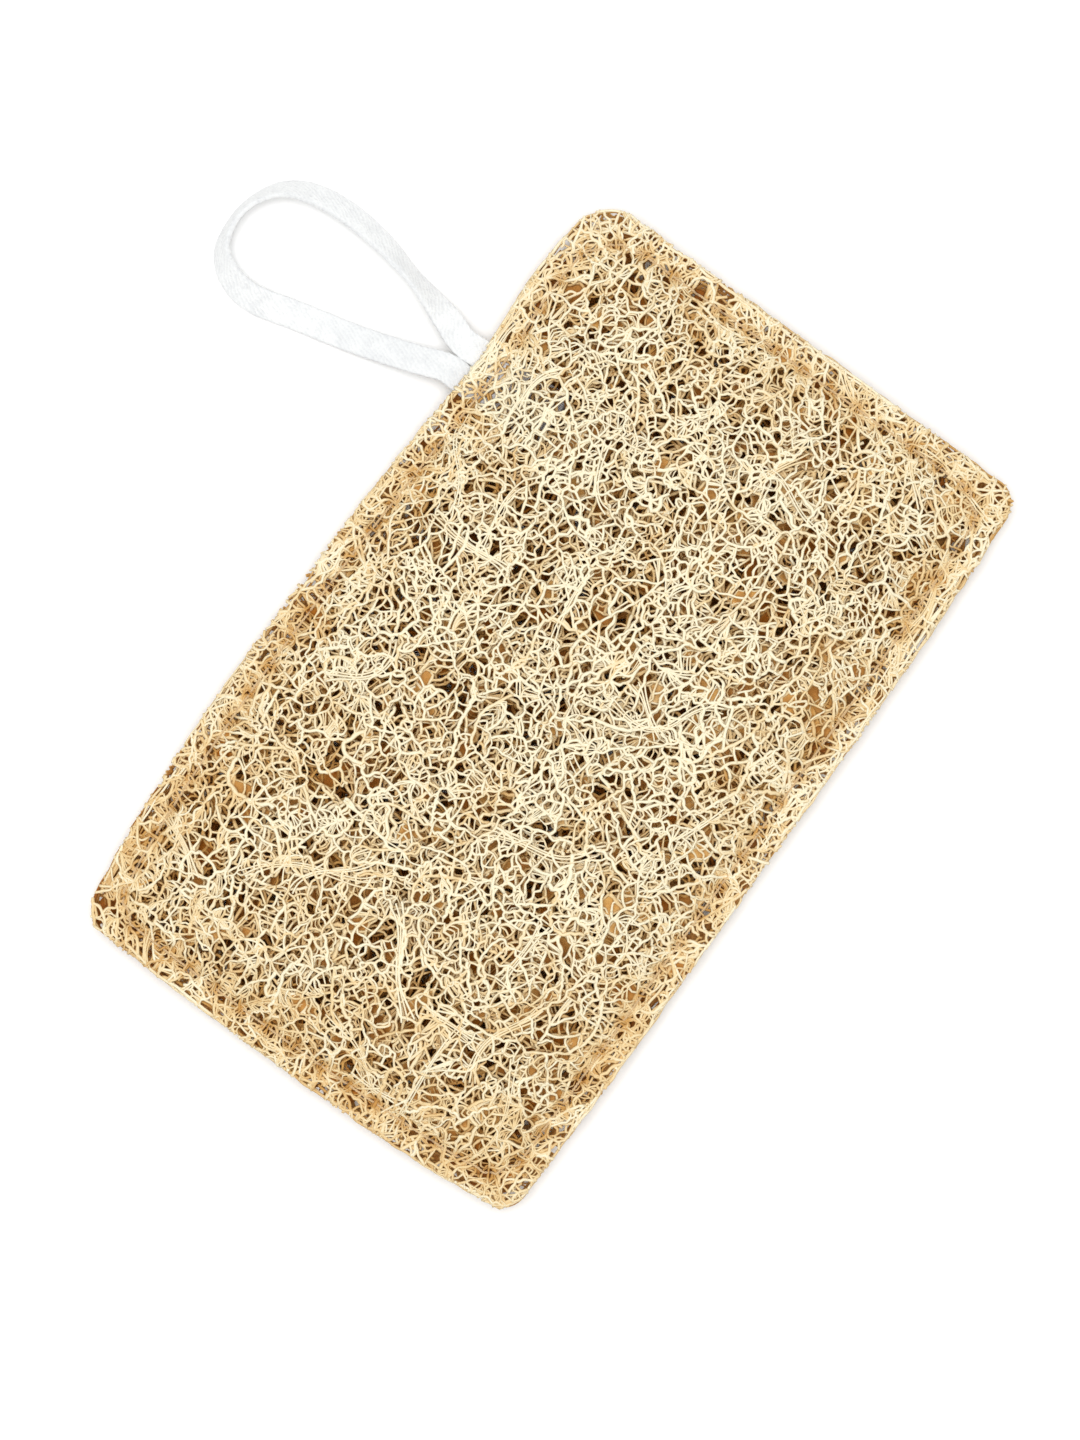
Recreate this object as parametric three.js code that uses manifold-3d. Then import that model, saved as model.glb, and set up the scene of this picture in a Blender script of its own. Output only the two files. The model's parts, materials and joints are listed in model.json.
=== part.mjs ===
// A palm-size luffa (loofah) scrubbing pad: two panels of flattened luffa gourd wall, lockstitched
// together all round just inside the edge, with a cotton tape hanging loop whose two ends are sewn
// between the panels at one long side.
//
// Millimetres, +Z up. The pad lies on its back panel: the origin is the middle of its underside, +Y
// runs along its length, and the hanging loop leaves the -X side.

import * as THREE from 'three';
import { mergeVertices } from 'three/addons/utils/BufferGeometryUtils.js';
import Module from 'manifold-3d';

const wasm = await Module();
wasm.setup();

// ---- Driving dimensions ------------------------------------------------------------------------

const PAD_LENGTH = 144; // along Y
const PAD_WIDTH = 88; // along X
const PAD_THICKNESS = 15; // at the crown of the front panel

const MEET_HEIGHT = 4; // height at which the two panels meet along the sewn edge
const MEET_RISE = 3; // how much higher they meet in the middle of the pad
const PANEL_GAP = 0.3; // between the two panels
const RIM_THICKNESS = 4.4; // both panels together, outside the seam
const EDGE_ROUNDING = 0.8; // how far each face falls away at the very edge
const EDGE_ROUNDING_WIDTH = 1.3;

const SEAM_INSET = 4.2; // from the edge to the row of stitches
const GROOVE_DEPTH = 0.3; // how far the stitches pull each face in
const GROOVE_WIDTH = 1.2;
const STITCH_COUNT = 76;
const STITCH_HOLE = { length: 1.9, width: 0.9 };

const SWELL_LENGTH = 10; // how quickly the front panel rises inside the seam
const SWELL_SOFTNESS = 1.3; // above 1, the rise starts gently
const FLAT_INSET = 14; // the back panel is flat further in than this

const THREAD_THICKNESS = 0.36;
const THREAD_LIFT = 0.2; // between the thread and the face that it lies on
const THREAD_GAP = 0.3; // between the two threads inside a stitch

const TAPE_WIDTH = 4.7;
const TAPE_THICKNESS = 1;
const TAPE_GAP = 0.3; // between the two tape ends, side by side
const TAIL_REACH = 16; // how far inside the edge each tape end stops
const LOOP_MIDDLE_Y = 37.5; // where the loop leaves the side
const HINGE_OFFSET = 3.4; // from the edge to the line about which the loop folds
const HINGE_CLEARANCE = 1.5; // between the fold line and the sewn-in tape ends, so the loop can fold right over

// Distance of each side from the middle line, as [place along the side, distance].
const LEFT_SIDE = [[-72, 41.2], [-55, 43.1], [-34, 44], [-2, 43.4], [22, 42.1], [41, 40.8], [55, 41.3], [72, 39.8]];
const RIGHT_SIDE = [[-72, 42.4], [-40, 43.2], [0, 43.7], [30, 44], [56, 43.7], [72, 43]];
const TOP_END = [[-44, 72], [-33, 72], [0, 71.6], [44, 71.1]];
const BOTTOM_END = [[-44, 70.6], [-18, 71.6], [6, 72], [26, 71.6], [44, 70.3]];

// Corner radii, anticlockwise from the +X +Y corner, and how fast they grow towards the middle.
const CORNER_RADII = [3.5, 6.5, 3.5, 3.5];
const CORNER_GROWTH = 0.35;

// The hanging loop's centreline outside the pad, as [x, y, z, tilt in degrees]. At tilt 0 the tape
// lies flat, and a positive tilt lifts its inner edge.
const LOOP_ROUTE = [
  [-44.2, 40.0, 4.0, 0], [-48.0, 41.3, 3.7, 14], [-52.2, 42.7, 3.2, 42], [-57.0, 44.0, 2.8, 60],
  [-64.7, 45.8, 2.3, 46], [-72.1, 46.4, 2.2, 40], [-78.3, 45.5, 2.2, 45], [-82.4, 43.2, 2.4, 58],
  [-85.1, 38.9, 2.5, 70], [-85.7, 34.0, 2.5, 72], [-84.4, 29.7, 2.4, 60], [-80.8, 27.1, 2.0, 38],
  [-75.9, 26.5, 1.5, 20], [-68.5, 28.3, 1.0, 6], [-58.6, 30.6, 1.4, -6], [-48.9, 33.4, 3.3, -4],
  [-44.2, 35.0, 4.0, 0],
];
const LOOP_STEPS = 56;

// ---- The pad's outline -------------------------------------------------------------------------

const HALF_WIDTH = PAD_WIDTH / 2;
const HALF_LENGTH = PAD_LENGTH / 2;

function smoothstep(from, to, value) {
  const t = THREE.MathUtils.clamp((value - from) / (to - from), 0, 1);
  return t * t * (3 - 2 * t);
}

// A smooth curve through [place, distance] pairs, read at one place.
function distanceAt(side, place) {
  const last = side.length - 1;
  const at = THREE.MathUtils.clamp(place, side[0][0], side[last][0]);
  let i = 0;
  while (i < last - 1 && side[i + 1][0] < at) i += 1;
  const slope = (k) => {
    const before = side[Math.max(k - 1, 0)];
    const after = side[Math.min(k + 1, last)];
    return (after[1] - before[1]) / (after[0] - before[0]);
  };
  const step = side[i + 1][0] - side[i][0];
  const t = (at - side[i][0]) / step;
  const rise = side[i + 1][1] - side[i][1];
  return (
    side[i][1] + rise * t * t * (3 - 2 * t) +
    step * (slope(i) * t * (1 - t) * (1 - t) - slope(i + 1) * t * t * (1 - t))
  );
}

// Bends a plain rectangle of the pad's size to the sides' real, slightly bowed shape.
function bow(point) {
  const side = point.x < 0 ? LEFT_SIDE : RIGHT_SIDE;
  const end = point.y > 0 ? TOP_END : BOTTOM_END;
  return new THREE.Vector2(
    (point.x / HALF_WIDTH) * distanceAt(side, point.y),
    (point.y / HALF_LENGTH) * distanceAt(end, point.x),
  );
}

// The rectangle with round corners that runs a given distance inside the edge, anticlockwise from
// the middle of the +X side.
function insetPath(inset) {
  const a = HALF_WIDTH - inset;
  const b = HALF_LENGTH - inset;
  const path = new THREE.Path();
  path.moveTo(a, 0);
  [[1, 1], [-1, 1], [-1, -1], [1, -1]].forEach(([signX, signY], k) => {
    const radius = Math.min(CORNER_RADII[k] + inset * CORNER_GROWTH, a * 0.95);
    const start = (k * Math.PI) / 2;
    path.absarc(signX * (a - radius), signY * (b - radius), radius, start, start + Math.PI / 2);
  });
  path.lineTo(a, 0);
  return path;
}

// A point on that line, at a fraction of its length, with the direction in which it runs there.
function insetPoint(path, fraction) {
  const wrapped = THREE.MathUtils.euclideanModulo(fraction, 1);
  const small = 1e-4;
  const at = bow(path.getPoint(wrapped));
  const ahead = bow(path.getPoint(THREE.MathUtils.euclideanModulo(wrapped + small, 1)));
  const behind = bow(path.getPoint(THREE.MathUtils.euclideanModulo(wrapped - small, 1)));
  return { at, along: ahead.sub(behind).normalize(), fraction: wrapped };
}

// ---- Heights, from the distance inside the edge ------------------------------------------------

function faceRelief(inset) {
  const rounding = EDGE_ROUNDING * (1 - Math.min(inset / EDGE_ROUNDING_WIDTH, 1)) ** 2;
  const groove = GROOVE_DEPTH * Math.exp(-(((inset - SEAM_INSET) / GROOVE_WIDTH) ** 2));
  return rounding + groove;
}

function frontHeight(inset) {
  const inward = Math.max(inset - SEAM_INSET, 0) / SWELL_LENGTH;
  const swell = 1 - Math.exp(-(inward ** SWELL_SOFTNESS));
  const rimTop = MEET_HEIGHT + RIM_THICKNESS / 2;
  return rimTop - faceRelief(inset) + (PAD_THICKNESS - rimTop) * swell;
}

function backHeight(inset) {
  const rimBottom = MEET_HEIGHT - RIM_THICKNESS / 2;
  return (rimBottom + faceRelief(inset)) * (1 - smoothstep(SEAM_INSET, FLAT_INSET, inset));
}

function meetHeight(inset) {
  return MEET_HEIGHT + MEET_RISE * smoothstep(SEAM_INSET, 25, inset);
}

// ---- Stitches ----------------------------------------------------------------------------------

// The row starts so that one stitch falls on each tape end.
function stitchPlaces() {
  const path = insetPath(SEAM_INSET);
  let between = 0.25;
  while (insetPoint(path, between).at.y > LOOP_MIDDLE_Y || between < 0.3) between += 0.0005;
  const places = [];
  for (let i = 0; i < STITCH_COUNT; i += 1) {
    places.push(insetPoint(path, between + (i + 0.5) / STITCH_COUNT));
  }
  places.sort((p, q) => p.fraction - q.fraction);
  return places;
}

const STITCHES = stitchPlaces();
const SEAM_LENGTH = insetPath(SEAM_INSET).getLength();

// The two lines of hole corners, one each side of the stitches: two points for each stitch.
function holeRing(offset) {
  const half = STITCH_HOLE.length / 2;
  return STITCHES.flatMap(({ at, along, fraction }) => {
    const inward = new THREE.Vector2(-along.y, along.x).multiplyScalar(offset);
    return [-half, half].map((shift) => ({
      at: at.clone().addScaledVector(along, shift).add(inward),
      fraction: fraction + shift / SEAM_LENGTH,
    }));
  });
}

function plainRing(inset, count) {
  const path = insetPath(inset);
  return Array.from({ length: count }, (_, i) => insetPoint(path, i / count));
}

// ---- Closed bodies -----------------------------------------------------------------------------

class Body {
  constructor() {
    this.positions = [];
    this.triangles = [];
  }

  addRing(ring, z) {
    return ring.map(({ at, fraction }) => {
      this.positions.push(at.x, at.y, z);
      return { index: this.positions.length / 3 - 1, fraction, at };
    });
  }

  face(a, b, c, up) {
    this.triangles.push(...(up ? [a.index, b.index, c.index] : [a.index, c.index, b.index]));
  }

  // Joins an outer ring to the ring inside it, stepping along whichever is behind.
  band(outer, inner, up) {
    let i = 0;
    let j = 0;
    const ahead = (ring, k) => ring[k % ring.length].fraction + Math.floor(k / ring.length);
    while (i < outer.length || j < inner.length) {
      const a = outer[i % outer.length];
      const b = inner[j % inner.length];
      const stepOuter = i < outer.length && (j >= inner.length || ahead(outer, i + 1) < ahead(inner, j + 1));
      if (stepOuter) {
        i += 1;
        this.face(a, outer[i % outer.length], b, up);
      } else {
        j += 1;
        this.face(a, inner[j % inner.length], b, up);
      }
    }
  }

  // The strip that holds the stitch holes: every other quad is left open.
  holeStrip(outer, inner, up) {
    for (let i = 1; i < outer.length; i += 2) {
      const next = (i + 1) % outer.length;
      this.face(outer[i], outer[next], inner[next], up);
      this.face(outer[i], inner[next], inner[i], up);
    }
  }

  cap(ring, up) {
    const faces = THREE.ShapeUtils.triangulateShape(ring.map((point) => point.at), []);
    faces.forEach(([a, b, c]) => this.face(ring[a], ring[b], ring[c], up));
  }

  // A wall between two rings with the same points, one above the other.
  wall(lower, upper, outward) {
    lower.forEach((_, i) => {
      const next = (i + 1) % lower.length;
      this.face(lower[i], lower[next], upper[next], outward);
      this.face(lower[i], upper[next], upper[i], outward);
    });
  }

  geometry() {
    const geometry = new THREE.BufferGeometry();
    geometry.setAttribute('position', new THREE.Float32BufferAttribute(this.positions, 3));
    geometry.setIndex(this.triangles);
    return geometry;
  }
}

// One face of a panel, from the edge to the middle. Returns the rings that its walls stand on.
function panelFace(body, heightAt, insets, up) {
  const edge = body.addRing(plainRing(0, 96), heightAt(0));
  const half = STITCH_HOLE.width / 2;
  const holesOuter = body.addRing(holeRing(-half), heightAt(SEAM_INSET));
  const holesInner = body.addRing(holeRing(half), heightAt(SEAM_INSET));
  let outside = edge;
  insets.filter((inset) => inset < SEAM_INSET).forEach((inset) => {
    const ring = body.addRing(plainRing(inset, 96), heightAt(inset));
    body.band(outside, ring, up);
    outside = ring;
  });
  body.band(outside, holesOuter, up);
  body.holeStrip(holesOuter, holesInner, up);
  outside = holesInner;
  insets.filter((inset) => inset > SEAM_INSET).forEach((inset) => {
    const count = 2 * Math.round((HALF_WIDTH + HALF_LENGTH - 2 * inset) / (inset < 9 ? 2.2 : 3));
    const ring = body.addRing(plainRing(inset, count), heightAt(inset));
    body.band(outside, ring, up);
    outside = ring;
  });
  body.cap(outside, up);
  return { edge, holesOuter, holesInner };
}

function panelBody(upperHeight, upperInsets, lowerHeight, lowerInsets) {
  const body = new Body();
  const upper = panelFace(body, upperHeight, upperInsets, true);
  const lower = panelFace(body, lowerHeight, lowerInsets, false);
  body.wall(lower.edge, upper.edge, true);
  const corners = (face, i) => [
    face.holesOuter[i], face.holesOuter[i + 1], face.holesInner[i + 1], face.holesInner[i],
  ];
  for (let i = 0; i < 2 * STITCH_COUNT; i += 2) {
    body.wall(corners(lower, i), corners(upper, i), false);
  }
  return body.geometry();
}

// A bar of four-cornered sections. Each station has a centre and two half-width vectors, side and
// up, with side x up pointing along the bar.
function loft(stations, closed) {
  const body = new Body();
  const rings = stations.map(({ centre, side, up }) =>
    [[1, 1], [-1, 1], [-1, -1], [1, -1]].map(([s, u]) => {
      const corner = centre.clone().addScaledVector(side, s).addScaledVector(up, u);
      body.positions.push(corner.x, corner.y, corner.z);
      return { index: body.positions.length / 3 - 1 };
    }),
  );
  const steps = closed ? rings.length : rings.length - 1;
  for (let i = 0; i < steps; i += 1) {
    body.wall(rings[i], rings[(i + 1) % rings.length], true);
  }
  if (!closed) {
    const last = rings[rings.length - 1];
    [[rings[0], false], [last, true]].forEach(([ring, up]) => {
      body.face(ring[0], ring[1], ring[2], up);
      body.face(ring[0], ring[2], ring[3], up);
    });
  }
  return body.geometry();
}

function asSolid(geometry) {
  const plain = geometry.clone();
  ['normal', 'uv'].forEach((name) => plain.deleteAttribute(name));
  const merged = mergeVertices(plain);
  return new wasm.Manifold(new wasm.Mesh({
    numProp: 3,
    vertProperties: new Float32Array(merged.getAttribute('position').array),
    triVerts: new Uint32Array(merged.index.array),
  }));
}

function asGeometry(solid) {
  const mesh = solid.getMesh();
  const geometry = new THREE.BufferGeometry();
  geometry.setAttribute('position', new THREE.Float32BufferAttribute(mesh.vertProperties, 3));
  geometry.setIndex(Array.from(mesh.triVerts));
  return geometry;
}

// ---- The sewn-in tape ends ---------------------------------------------------------------------

const LOOP_EDGE_X = -distanceAt(LEFT_SIDE, LOOP_MIDDLE_Y);
const HINGE_X = LOOP_EDGE_X - HINGE_OFFSET;

// A flat bar that follows the surface where the panels meet, from x = from to x = to.
function flatBar(from, to, y, width, thickness) {
  const steps = 6;
  const stations = Array.from({ length: steps + 1 }, (_, i) => {
    const x = THREE.MathUtils.lerp(from, to, i / steps);
    return {
      centre: new THREE.Vector3(x, y, meetHeight(x - LOOP_EDGE_X)),
      side: new THREE.Vector3(0, width / 2, 0),
      up: new THREE.Vector3(0, 0, thickness / 2),
    };
  });
  return loft(stations, false);
}

function tailGeometry(y) {
  const bar = flatBar(HINGE_X + HINGE_CLEARANCE, LOOP_EDGE_X + TAIL_REACH, y, TAPE_WIDTH, TAPE_THICKNESS);
  const hole = new THREE.BoxGeometry(STITCH_HOLE.width, STITCH_HOLE.length, 4 * TAPE_THICKNESS);
  let solid = asSolid(bar);
  STITCHES.filter(({ at }) => at.x < 0 && Math.abs(at.y - y) < TAPE_WIDTH / 2).forEach(({ at }) => {
    const cutter = hole.clone().translate(at.x, at.y, MEET_HEIGHT);
    solid = solid.subtract(asSolid(cutter));
  });
  return asGeometry(solid);
}

// The space between the panels that the two tape ends fill.
function tailPocket() {
  const width = 2 * TAPE_WIDTH + 3 * TAPE_GAP;
  const thickness = TAPE_THICKNESS + 2 * TAPE_GAP;
  return asSolid(
    flatBar(LOOP_EDGE_X - 3, LOOP_EDGE_X + TAIL_REACH + TAPE_GAP, LOOP_MIDDLE_Y, width, thickness),
  );
}

// ---- The pieces --------------------------------------------------------------------------------

const OUTER_INSETS = [EDGE_ROUNDING_WIDTH, 6.4, 9, FLAT_INSET, 20, 28, 38];
const MEETING_INSETS = [9, 16, 26];

function frontPanelGeometry() {
  const meeting = (inset) => meetHeight(inset) + PANEL_GAP / 2;
  const panel = panelBody(frontHeight, OUTER_INSETS, meeting, MEETING_INSETS);
  return asGeometry(asSolid(panel).subtract(tailPocket()));
}

function backPanelGeometry() {
  const meeting = (inset) => meetHeight(inset) - PANEL_GAP / 2;
  const panel = panelBody(meeting, MEETING_INSETS, backHeight, OUTER_INSETS);
  return asGeometry(asSolid(panel).subtract(tailPocket()));
}

// A lockstitch thread: it lies on one face between the holes and dips into each hole to the middle
// of the pad's edge. direction is 1 for the front thread and -1 for the back one.
function threadGeometry(heightAt, direction) {
  const half = THREAD_THICKNESS / 2;
  const onFace = heightAt(SEAM_INSET) + direction * (THREAD_LIFT + half);
  const inHole = MEET_HEIGHT + direction * (THREAD_GAP / 2 + half);
  const profile = [[-0.56, onFace], [-0.4, inHole], [0.4, inHole], [0.56, onFace]];
  const points = STITCHES.flatMap(({ at, along }) => profile.map(([shift, z]) => ({
    centre: new THREE.Vector3(at.x + along.x * shift, at.y + along.y * shift, z),
    inward: new THREE.Vector3(-along.y, along.x, 0),
  })));
  const stations = points.map(({ centre, inward }, i) => {
    const before = points[(i + points.length - 1) % points.length].centre;
    const after = points[(i + 1) % points.length].centre;
    const arriving = centre.clone().sub(before).normalize();
    const leaving = after.clone().sub(centre).normalize();
    const tangent = arriving.clone().add(leaving).normalize();
    const mitre = 1 / tangent.dot(leaving);
    const up = new THREE.Vector3().crossVectors(tangent, inward).normalize();
    return {
      centre,
      side: inward.clone().multiplyScalar(half),
      up: up.multiplyScalar(half * mitre),
    };
  });
  return loft(stations, true);
}

// The tape outside the pad, twisting between flat at its roots and nearly on edge at its far end.
function loopGeometry() {
  const route = LOOP_ROUTE.map(([x, y, z]) => new THREE.Vector3(x, y, z));
  route[0].x = HINGE_X;
  route[route.length - 1].x = HINGE_X;
  const curve = new THREE.CatmullRomCurve3(route);
  const tilts = new THREE.SplineCurve(LOOP_ROUTE.map((stop) => new THREE.Vector2(stop[3], 0)));
  const upright = new THREE.Vector3(0, 0, 1);
  const stations = Array.from({ length: LOOP_STEPS + 1 }, (_, i) => {
    const t = i / LOOP_STEPS;
    const tangent = curve.getTangent(t);
    if (i === 0 || i === LOOP_STEPS) tangent.set(i === 0 ? -1 : 1, 0, 0);
    const inward = new THREE.Vector3().crossVectors(upright, tangent).normalize();
    const tilt = THREE.MathUtils.degToRad(tilts.getPoint(t).x);
    const side = inward.applyAxisAngle(tangent, tilt);
    const up = new THREE.Vector3().crossVectors(tangent, side);
    return {
      centre: curve.getPoint(t),
      side: side.multiplyScalar(TAPE_WIDTH / 2),
      up: up.multiplyScalar(TAPE_THICKNESS / 2),
    };
  });
  return loft(stations, false);
}

const luffa = (color) => new THREE.MeshStandardMaterial({ color, roughness: 0.85, metalness: 0 });
const thread = () => new THREE.MeshStandardMaterial({ color: 0xcfa878, roughness: 0.7, metalness: 0 });
const cotton = () => new THREE.MeshStandardMaterial({ color: 0xf4f5f7, roughness: 0.9, metalness: 0 });

function piece(name, geometry, material) {
  const shaded = geometry.index ? geometry.toNonIndexed() : geometry;
  shaded.computeVertexNormals();
  const mesh = new THREE.Mesh(shaded, material);
  mesh.name = name;
  return mesh;
}

const tapeSpacing = (TAPE_WIDTH + TAPE_GAP) / 2;
const pad = new THREE.Group();
pad.add(
  piece('front_panel', frontPanelGeometry(), luffa(0xecd3a2)),
  piece('back_panel', backPanelGeometry(), luffa(0xe6c993)),
  piece('needle_thread', threadGeometry(frontHeight, 1), thread()),
  piece('bobbin_thread', threadGeometry(backHeight, -1), thread()),
  piece('loop_end_upper', tailGeometry(LOOP_MIDDLE_Y + tapeSpacing), cotton()),
  piece('loop_end_lower', tailGeometry(LOOP_MIDDLE_Y - tapeSpacing), cotton()),
  piece('hanging_loop', loopGeometry(), cotton()),
);

export default pad;
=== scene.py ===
"""A palm-size luffa scrubbing pad: two panels of luffa fibre, lockstitched together just inside the
edge, with a cotton tape hanging loop sewn in at one long side.

Shapes are worked out in millimetres in the CAD model's frame, and become metres in the meshes.
"""

import json
import math

import bpy
import numpy as np
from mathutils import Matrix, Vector
from mathutils.geometry import delaunay_2d_cdt

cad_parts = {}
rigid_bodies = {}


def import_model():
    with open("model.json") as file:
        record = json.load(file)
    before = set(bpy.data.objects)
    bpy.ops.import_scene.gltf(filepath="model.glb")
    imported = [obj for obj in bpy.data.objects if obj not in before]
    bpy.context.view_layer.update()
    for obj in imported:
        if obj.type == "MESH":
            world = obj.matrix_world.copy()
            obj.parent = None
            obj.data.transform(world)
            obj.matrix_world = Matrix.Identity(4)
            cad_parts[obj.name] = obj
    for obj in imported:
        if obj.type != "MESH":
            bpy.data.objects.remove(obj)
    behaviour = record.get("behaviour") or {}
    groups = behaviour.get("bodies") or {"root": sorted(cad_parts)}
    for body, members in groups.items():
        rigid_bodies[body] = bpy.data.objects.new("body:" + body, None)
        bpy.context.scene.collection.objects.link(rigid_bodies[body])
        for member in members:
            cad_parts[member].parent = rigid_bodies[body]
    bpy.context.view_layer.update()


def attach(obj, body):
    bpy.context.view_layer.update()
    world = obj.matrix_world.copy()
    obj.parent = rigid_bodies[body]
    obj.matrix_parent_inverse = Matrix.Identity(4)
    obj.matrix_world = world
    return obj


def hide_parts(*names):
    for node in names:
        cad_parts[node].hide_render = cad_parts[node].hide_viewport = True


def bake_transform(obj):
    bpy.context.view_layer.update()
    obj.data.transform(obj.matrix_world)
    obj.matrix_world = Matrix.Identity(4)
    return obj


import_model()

MM = 0.001
UP = np.array([0.0, 0.0, 1.0])

# ---- The pad's dimensions, which are the CAD model's

HALF_WIDTH = 44.0
HALF_LENGTH = 72.0
PAD_THICKNESS = 15.0
MEET_HEIGHT = 4.0
MEET_RISE = 3.0
MEET_RISE_INSET = 25.0
PANEL_GAP = 0.3
RIM_THICKNESS = 4.4
EDGE_ROUNDING = 0.8
EDGE_ROUNDING_WIDTH = 1.3
SEAM_INSET = 4.2
GROOVE_DEPTH = 0.3
GROOVE_WIDTH = 1.2
STITCH_COUNT = 76
SWELL_LENGTH = 10.0
SWELL_SOFTNESS = 1.3
FLAT_INSET = 14.0

# Each side's distance from the middle line, as [place along the side, distance].
LEFT_SIDE = [[-72, 41.2], [-55, 43.1], [-34, 44], [-2, 43.4], [22, 42.1], [41, 40.8], [55, 41.3], [72, 39.8]]
RIGHT_SIDE = [[-72, 42.4], [-40, 43.2], [0, 43.7], [30, 44], [56, 43.7], [72, 43]]
TOP_END = [[-44, 72], [-33, 72], [0, 71.6], [44, 71.1]]
BOTTOM_END = [[-44, 70.6], [-18, 71.6], [6, 72], [26, 71.6], [44, 70.3]]

# Anticlockwise from the +X +Y corner, how fast they grow inwards, and the largest as a share of the
# half width.
CORNER_RADII = [3.5, 6.5, 3.5, 3.5]
CORNER_GROWTH = 0.35
CORNER_LIMIT = 0.95

TAPE_WIDTH = 4.7
TAPE_THICKNESS = 1.0
TAPE_GAP = 0.3
TAPE_SPACING = (TAPE_WIDTH + TAPE_GAP) / 2
TAIL_REACH = 16.0
LOOP_MIDDLE_Y = 37.5
HINGE_OFFSET = 3.4

# The loop's centreline outside the pad: x, y, z and the tape's tilt in degrees.
LOOP_ROUTE = [
    [-44.2, 40.0, 4.0, 0], [-48.0, 41.3, 3.7, 14], [-52.2, 42.7, 3.2, 42], [-57.0, 44.0, 2.8, 60],
    [-64.7, 45.8, 2.3, 46], [-72.1, 46.4, 2.2, 40], [-78.3, 45.5, 2.2, 45], [-82.4, 43.2, 2.4, 58],
    [-85.1, 38.9, 2.5, 70], [-85.7, 34.0, 2.5, 72], [-84.4, 29.7, 2.4, 60], [-80.8, 27.1, 2.0, 38],
    [-75.9, 26.5, 1.5, 20], [-68.5, 28.3, 1.0, 6], [-58.6, 30.6, 1.4, -6], [-48.9, 33.4, 3.3, -4],
    [-44.2, 35.0, 4.0, 0],
]


def smoothstep(start, end, value):
    t = np.clip((value - start) / (end - start), 0, 1)
    return t * t * (3 - 2 * t)


def distance_at(side, place):
    """A smooth curve through [place, distance] pairs, read at each place."""
    places, distances = np.array(side, float).T
    last = len(places) - 1
    before = np.maximum(np.arange(last + 1) - 1, 0)
    after = np.minimum(np.arange(last + 1) + 1, last)
    slopes = (distances[after] - distances[before]) / (places[after] - places[before])
    at = np.clip(place, places[0], places[-1])
    i = np.clip(np.searchsorted(places, at) - 1, 0, last - 1)
    step = places[i + 1] - places[i]
    t = (at - places[i]) / step
    rise = distances[i + 1] - distances[i]
    turns = slopes[i] * t * (1 - t) * (1 - t) - slopes[i + 1] * t * t * (1 - t)
    return distances[i] + rise * t * t * (3 - 2 * t) + step * turns


def bow(u, v):
    """Bends a plain rectangle of the pad's size to the sides' real, slightly bowed shape."""
    across = np.where(u < 0, distance_at(LEFT_SIDE, v), distance_at(RIGHT_SIDE, v))
    along = np.where(v > 0, distance_at(TOP_END, u), distance_at(BOTTOM_END, u))
    return u / HALF_WIDTH * across, v / HALF_LENGTH * along


def inset_of(u, v):
    """How far inside the edge of the plain rectangle each point is."""
    radius = np.select(
        [(u >= 0) & (v >= 0), (u < 0) & (v >= 0), (u < 0) & (v < 0)], CORNER_RADII[:3], CORNER_RADII[3]
    )
    inset = np.zeros_like(u)
    for _ in range(4):
        half_width = HALF_WIDTH - inset
        corner = np.minimum(radius + CORNER_GROWTH * inset, CORNER_LIMIT * half_width)
        beyond_x = np.abs(u) - (half_width - corner)
        beyond_y = np.abs(v) - (HALF_LENGTH - inset - corner)
        outside = np.hypot(np.maximum(beyond_x, 0), np.maximum(beyond_y, 0))
        outside += np.minimum(np.maximum(beyond_x, beyond_y), 0) - corner
        inset = np.minimum(inset - outside, HALF_WIDTH - 0.1)
    return inset


def face_relief(inset):
    rounding = EDGE_ROUNDING * (1 - np.clip(inset / EDGE_ROUNDING_WIDTH, 0, 1)) ** 2
    return rounding + GROOVE_DEPTH * np.exp(-(((inset - SEAM_INSET) / GROOVE_WIDTH) ** 2))


def front_height(inset):
    swell = 1 - np.exp(-((np.maximum(inset - SEAM_INSET, 0) / SWELL_LENGTH) ** SWELL_SOFTNESS))
    rim_top = MEET_HEIGHT + RIM_THICKNESS / 2
    return rim_top - face_relief(inset) + (PAD_THICKNESS - rim_top) * swell


def back_height(inset):
    rim_bottom = MEET_HEIGHT - RIM_THICKNESS / 2
    return (rim_bottom + face_relief(inset)) * (1 - smoothstep(SEAM_INSET, FLAT_INSET, inset))


def meet_height(inset):
    return MEET_HEIGHT + MEET_RISE * smoothstep(SEAM_INSET, MEET_RISE_INSET, inset)


# ---- Lines and the row of stitches


def unit(vectors):
    return vectors / np.maximum(np.linalg.norm(vectors, axis=-1, keepdims=True), 1e-9)


def lengths_along(points):
    """How far along a line each of its points is."""
    return np.concatenate([[0], np.cumsum(np.linalg.norm(np.diff(points, axis=0), axis=1))])


def read_line(line, travelled, places):
    """The line's points at other lengths along it."""
    return np.column_stack([np.interp(places, travelled, column) for column in line.T])


def catmull_rom(points, steps):
    """A smooth line through the points, with a number of steps between neighbours."""
    padded = np.vstack([2 * points[0] - points[1], points, 2 * points[-1] - points[-2]])
    a, b, c, d = padded[:-3], padded[1:-2], padded[2:-1], padded[3:]
    t = (np.arange(steps) / steps)[:, None, None]
    curve = 2 * b + (c - a) * t + (2 * a - 5 * b + 4 * c - d) * t**2 + (3 * b - a - 3 * c + d) * t**3
    return np.vstack([0.5 * curve.transpose(1, 0, 2).reshape(-1, points.shape[1]), points[-1:]])


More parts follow.
